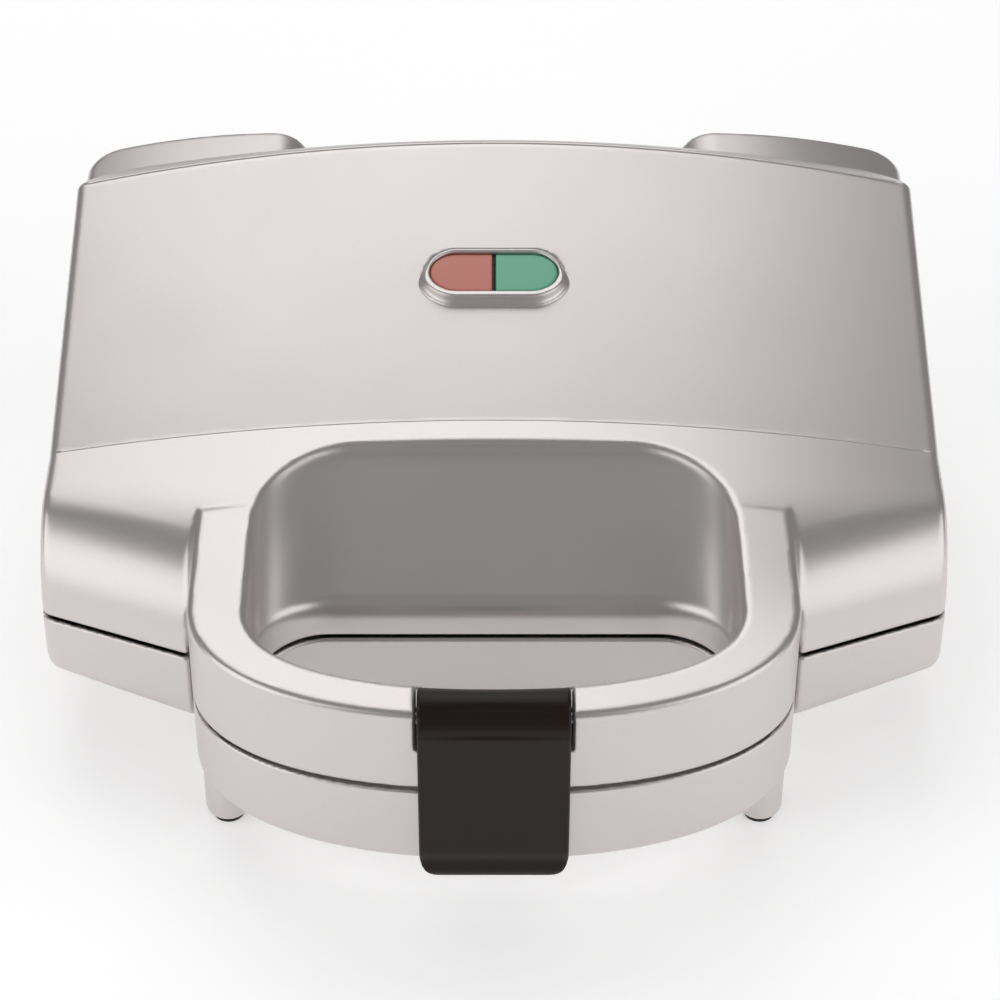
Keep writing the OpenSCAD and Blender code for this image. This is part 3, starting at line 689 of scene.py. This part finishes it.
def newMaterial(name, colour, metallic, roughness, extra=None):
    material = bpy.data.materials.new(name)
    material.use_nodes = True
    tree = material.node_tree
    tree.nodes.clear()
    plain = {"Base Color": linear(colour), "Metallic": metallic, "Roughness": roughness}
    shader = addNode(tree, "ShaderNodeBsdfPrincipled", {**plain, **(extra or {})})
    addNode(tree, "ShaderNodeOutputMaterial", links={"Surface": shader.outputs["BSDF"]})
    material.diffuse_color = linear(colour)
    return material, tree, shader


def grainBump(tree, shader, spacing, height, detail=2.0):
    # fine moulded or sprayed grain; spacing and height in millimetres
    place = addNode(tree, "ShaderNodeTexCoord")
    noise = addNode(tree, "ShaderNodeTexNoise", {"Scale": 1000 / spacing, "Detail": detail},
                    {"Vector": place.outputs["Object"]})
    bump = addNode(tree, "ShaderNodeBump", {"Strength": 0.6, "Distance": height / 1000},
                   {"Height": noise.outputs["Fac"]})
    tree.links.new(bump.outputs["Normal"], shader.inputs["Normal"])
    return noise


def silverPaintedAbs():
    # ABS, moulded and sprayed silver: aluminium flake under a thin clear coat gives a soft, broad sheen
    look = {"colour": "D9D3D2", "darkFlake": "D6D0CF", "lightFlake": "DED8D7", "flakeSpacing": 0.35,
            "flakeHeight": 0.004, "metallic": 0.8, "roughness": 0.34, "uneven": 0.03, "unevenSpacing": 40.0,
            "coat": 0.12, "coatRoughness": 0.25}
    material, tree, shader = newMaterial("silverPaintedAbs", look["colour"], look["metallic"], look["roughness"],
                                         {"Coat Weight": look["coat"], "Coat Roughness": look["coatRoughness"]})
    noise = grainBump(tree, shader, look["flakeSpacing"], look["flakeHeight"])
    place = addNode(tree, "ShaderNodeTexCoord")
    broad = addNode(tree, "ShaderNodeTexNoise", {"Scale": 1000 / look["unevenSpacing"], "Detail": 3.0},
                    {"Vector": place.outputs["Object"]})
    limits = {"To Min": look["roughness"] - look["uneven"], "To Max": look["roughness"] + look["uneven"]}
    rough = addNode(tree, "ShaderNodeMapRange", limits, {"Value": broad.outputs["Fac"]})
    tree.links.new(rough.outputs["Result"], shader.inputs["Roughness"])
    first, second, mixed = 6, 7, 2      # the colour sockets of a mix node
    tone = addNode(tree, "ShaderNodeMix", {"data_type": "RGBA", first: linear(look["darkFlake"]),
                                           second: linear(look["lightFlake"])}, {"Factor": noise.outputs["Fac"]})
    tree.links.new(tone.outputs[mixed], shader.inputs["Base Color"])
    return material


def blackMouldedAbs():
    # ABS, moulded in a finely sparked tool: dark satin with a grey veil at grazing angles
    material, tree, shader = newMaterial("blackMouldedAbs", "1E1411", metallic=0.0, roughness=0.42,
                                         extra={"IOR": 1.5, "Specular IOR Level": 0.25})
    grainBump(tree, shader, spacing=0.5, height=0.01)
    return material


def redTranslucentAcrylic():
    # acrylic, moulded: milky red window with a soft sheen and a little depth
    material, tree, shader = newMaterial("redTranslucentAcrylic", "DC8474", metallic=0.0, roughness=0.3,
                                         extra={"IOR": 1.49, "Transmission Weight": 0.15})
    grainBump(tree, shader, spacing=1.2, height=0.006)
    return material


def greenTranslucentAcrylic():
    # acrylic, moulded: milky green window with the same sheen and depth
    material, tree, shader = newMaterial("greenTranslucentAcrylic", "72C6A4", metallic=0.0, roughness=0.3,
                                         extra={"IOR": 1.49, "Transmission Weight": 0.15})
    grainBump(tree, shader, spacing=1.2, height=0.006)
    return material


def nonStickAluminium():
    # die-cast aluminium under a sprayed and baked non-stick coat: near black, faint sparkle
    material, tree, shader = newMaterial("nonStickAluminium", "2B2B2D", metallic=0.1, roughness=0.42,
                                         extra={"IOR": 1.38})
    grainBump(tree, shader, spacing=0.4, height=0.02)
    return material


def brushedSteel():
    # mild steel strip and rod, drawn and brushed: bright metal with fine lines
    material, tree, shader = newMaterial("brushedSteel", "B9B9BC", metallic=1.0, roughness=0.34)
    grainBump(tree, shader, spacing=0.3, height=0.006)
    return material


def mouldedRubber():
    # rubber, moulded: dull black
    material, tree, shader = newMaterial("mouldedRubber", "1E1D1D", metallic=0.0, roughness=0.75,
                                         extra={"IOR": 1.52})
    grainBump(tree, shader, spacing=0.6, height=0.03)
    return material


def whiteMouldedPbt():
    # PBT, moulded: warm off-white, half matt, as electrical fittings look
    material, tree, shader = newMaterial("whiteMouldedPbt", "DAD5C8", metallic=0.0, roughness=0.5,
                                         extra={"IOR": 1.55})
    grainBump(tree, shader, spacing=0.6, height=0.012)
    return material


def wovenGlassSleeve():
    # glass yarn, braided round the leads: dull, pale and fibrous
    material, tree, shader = newMaterial("wovenGlassSleeve", "BDB5A8", metallic=0.0, roughness=0.8)
    grainBump(tree, shader, spacing=0.8, height=0.08)
    return material


def clearLampGlass():
    # soda glass, drawn: clear with small sharp highlights
    return newMaterial("clearLampGlass", "F2E3D2", metallic=0.0, roughness=0.05,
                       extra={"IOR": 1.52, "Transmission Weight": 0.9})[0]


silver = silverPaintedAbs()
black = blackMouldedAbs()
steel = brushedSteel()
white = whiteMouldedPbt()
finishes = {
    "base_plate": nonStickAluminium(),
    "foot_pads": mouldedRubber(),
    "neon_lamps": clearLampGlass(),
    "red_lens": redTranslucentAcrylic(),
    "green_lens": greenTranslucentAcrylic(),
    "base_leads": wovenGlassSleeve(),
}
finishes["lid_plate"] = finishes["base_plate"]
finishes["lid_leads"] = finishes["base_leads"]
for nodeName in ("lid_shell", "base_shell", "lamp_bezel"):
    finishes[nodeName] = silver
for nodeName in ("latch", "lens_divider", "cord_gland"):
    finishes[nodeName] = black
for nodeName in ("thermostat", "terminal_block", "lamp_holder"):
    finishes[nodeName] = white
for nodeName, solid in frame["nodes"].items():
    solid.data.materials.clear()
    solid.data.materials.append(finishes.get(nodeName, steel))
print("materials done")

cellSize = 0.9     # of the nets, in millimetres
finer = {"latch": 0.6, "lens": 0.45, "divider": 0.35}     # shares of it for the small pieces


def mouldedPiece(name, field, low, high, step, nodeName, body, material, fineAt=None):
    # stands for one solid; low and high are corners of the box in which its surface is sought
    piece = netMesh(name, field, low, high, step, fineAt)
    piece.data.materials.append(material)
    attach(piece, body)
    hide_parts(nodeName)


boxHalf = 120
mouldedPiece("lidCover", lidField, (-boxHalf, latchV - 9, -4), (boxHalf, axisV + 13, 61), cellSize,
             "lid_shell", "lid", silver, 0)
baseFloor = feet["pad"] - seamZ - 2
mouldedPiece("baseCasing", baseField, (-boxHalf, -68, baseFloor), (boxHalf, axisV + 10, 18), cellSize,
             "base_shell", "base", silver, 0)
mouldedPiece("latchClip", latchField, (-21, latchV - 10, -31), (21, latchV + 10, 31), cellSize * finer["latch"],
             "latch", "latch", black)
lensHeight = topHeight(0, lamps["at"], *panelPlane)
lensLow = (-23, lamps["at"] - 13, lensHeight - 9)
lensHigh = (23, lamps["at"] + 13, lensHeight + 8)
lensCell = cellSize * finer["lens"]
mouldedPiece("lampBezel", bezelField, lensLow, lensHigh, lensCell, "lamp_bezel", "lid", silver)
mouldedPiece("greenLens", lensField, lensLow, lensHigh, lensCell, "green_lens", "lid", finishes["green_lens"])
mouldedPiece("redLens", lambda x, v, h: lensField(-x, v, h), lensLow, lensHigh, lensCell, "red_lens", "lid",
             finishes["red_lens"])
mouldedPiece("lensDivider", dividerField, (-1.5, *lensLow[1:]), (1.5, *lensHigh[1:]), cellSize * finer["divider"],
             "lens_divider", "lid", black)
print("moulded pieces done")


def sweptBead(name, points, radius, body, material):
    # round bead along a line of points, each end closed by a face
    sides = 8
    verts = []
    for i, point in enumerate(points):
        ahead = points[min(i + 1, len(points) - 1)] - points[max(i - 1, 0)]
        ahead.normalize()
        aside = ahead.cross(Vector((0, 0, 1))).normalized()
        over = aside.cross(ahead)
        for k in range(sides):
            a = 2 * math.pi * k / sides
            verts.append((point + (aside * math.cos(a) + over * math.sin(a)) * radius) / 1000)
    faces = []
    for ring in range(0, (len(points) - 1) * sides, sides):
        for k in range(sides):
            after = (k + 1) % sides
            faces.append((ring + k, ring + after, ring + sides + after, ring + sides + k))
    faces += [tuple(range(sides)), tuple(range(len(verts) - 1, len(verts) - 1 - sides, -1))]
    mesh = bpy.data.meshes.new(name)
    mesh.from_pydata([tuple(v) for v in verts], [], faces)
    for polygon in mesh.polygons:
        polygon.use_smooth = True
    mesh.materials.append(material)
    bead = bpy.data.objects.new(name, mesh)
    bpy.context.scene.collection.objects.link(bead)
    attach(bead, body)


beads = {
    "radius": 0.8,
    "frontSunk": 0.62,      # how deep the bead's middle lies below each crease
    "rearSunk": 0.85,
    "steps": 48,            # from the middle to each side
    "endInset": 2.2,
}


def creaseLine(planeA, planeB, sunk):
    # where two of the lid's crowned planes meet, from side to side
    points = []
    steps = beads["steps"]
    for i in range(2 * steps + 1):
        x = (halfLid - beads["endInset"]) * (i - steps) / steps
        a, b = (topHeight(x, 0, *plane) for plane in (planeA, planeB))
        v = (a - b) / (tangent(planeB[2]) - tangent(planeA[2]))
        points.append(Vector((x, v + cornerY, topHeight(x, v, *planeA) + seamZ - sunk)))
    return points


frontLine = creaseLine(panelPlane, deckPlane, beads["frontSunk"])
rearLine = creaseLine(panelPlane, bandPlane, beads["rearSunk"])
sweptBead("frontCreaseBead", frontLine, beads["radius"], "lid", silver)
sweptBead("rearCreaseBead", rearLine, beads["radius"], "lid", silver)
print("crease beads done")

camera = {
    "lens": 110.6,
    "sensor": 36.0,
    "distance": 800.0,
    "elevation": 39.0,
    "cornerRow": 617,       # where the shoulder corners stand in a picture of 1000 x 1000
    "middleColumn": 494,
}
studio = {
    "walls": "727272",
    "floor": "F8F8F8",
    "floorLift": 0.4,       # how much the paper glows
    "floorHalf": 3.0,
    "aim": (0, 0, 0.05),
    "boxes": {
        "overheadBox": {"at": (-0.2, 1.45, 1.75), "size": (1.4, 1.9), "radiance": 1.42, "mirrored": True},
        "leftBox": {"at": (-1.75, -0.95, 0.95), "size": (2.3, 1.8), "radiance": 1.35, "mirrored": True},
        "rightBox": {"at": (1.75, -0.95, 0.95), "size": (2.3, 1.8), "radiance": 1.25, "mirrored": True},
        "ceilingFill": {"at": (0, 0.2, 2.4), "size": (2.6, 2.6), "radiance": 0.4, "mirrored": False},
    },
}


def paperFloor():
    # paper, milled matt: white ground that glows a little for camera, mirrors and glass, and keeps its shadow
    material, tree, shader = newMaterial("whitePaperFloor", studio["floor"], metallic=0.0, roughness=0.95,
                                         extra={"Specular IOR Level": 0.1})
    path = addNode(tree, "ShaderNodeLightPath").outputs
    seen = addNode(tree, "ShaderNodeMath", {"operation": "MAXIMUM"},
                   {0: path["Is Camera Ray"], 1: path["Is Glossy Ray"]})
    also = addNode(tree, "ShaderNodeMath", {"operation": "MAXIMUM"},
                   {0: seen.outputs[0], 1: path["Is Transmission Ray"]})
    lift = addNode(tree, "ShaderNodeMath", {"operation": "MULTIPLY", 1: studio["floorLift"]},
                   {0: also.outputs[0]})
    glow = addNode(tree, "ShaderNodeEmission", {"Color": linear(studio["floor"])}, {"Strength": lift.outputs[0]})
    both = addNode(tree, "ShaderNodeAddShader", links={0: shader.outputs["BSDF"], 1: glow.outputs[0]})
    out = next(n for n in tree.nodes if n.type == "OUTPUT_MATERIAL")
    tree.links.new(both.outputs[0], out.inputs["Surface"])
    return material


def placeCamera():
    # looks down at the front; the shoulder corner stands at its row of the 1000 x 1000 picture
    data = bpy.data.cameras.new("studioCamera")
    data.lens = camera["lens"]
    data.sensor_width = camera["sensor"]
    data.clip_end = 20
    data.shift_x = (500 - camera["middleColumn"]) / 1000
    pixels = camera["lens"] / camera["sensor"] * 1000
    e = math.radians(camera["elevation"])
    forward = Vector((0, math.cos(e), -math.sin(e)))
    up = Vector((0, math.sin(e), math.cos(e)))
    below = (camera["cornerRow"] - 500) / pixels * camera["distance"]
    corner = Vector((0, cornerY, seamZ))
    place = corner - forward * camera["distance"] + up * below
    eye = bpy.data.objects.new("studioCamera", data)
    tilt = Matrix.Rotation(math.radians(90 - camera["elevation"]), 4, "X")
    eye.matrix_world = Matrix.Translation(place / 1000) @ tilt
    bpy.context.scene.collection.objects.link(eye)
    bpy.context.scene.camera = eye


def softBox(name, box):
    # area lamp whose energy gives its face the radiance that is written
    data = bpy.data.lights.new(name, "AREA")
    data.shape = "RECTANGLE"
    data.size, data.size_y = box["size"]
    data.energy = math.pi * box["size"][0] * box["size"][1] * box["radiance"]
    lamp = bpy.data.objects.new(name, data)
    lamp.location = box["at"]
    lamp.visible_glossy = box["mirrored"]
    lamp.rotation_euler = (Vector(studio["aim"]) - Vector(box["at"])).to_track_quat("-Z", "Y").to_euler()
    bpy.context.scene.collection.objects.link(lamp)


def buildStudio():
    placeCamera()
    mesh = bpy.data.meshes.new("studioFloor")
    half = studio["floorHalf"]
    mesh.from_pydata([(-half, -half, 0), (half, -half, 0), (half, half, 0), (-half, half, 0)], [], [(0, 1, 2, 3)])
    floor = bpy.data.objects.new("studioFloor", mesh)
    bpy.context.scene.collection.objects.link(floor)
    floor.data.materials.append(paperFloor())
    world = bpy.data.worlds.new("studioWorld")
    world.use_nodes = True
    world.node_tree.nodes.clear()
    walls = addNode(world.node_tree, "ShaderNodeBackground", {"Color": linear(studio["walls"]), "Strength": 1.0})
    addNode(world.node_tree, "ShaderNodeOutputWorld", links={"Surface": walls.outputs[0]})
    bpy.context.scene.world = world
    for name, box in studio["boxes"].items():
        softBox(name, box)
    bpy.context.scene.view_settings.view_transform = "Standard"


buildStudio()
print("studio done")
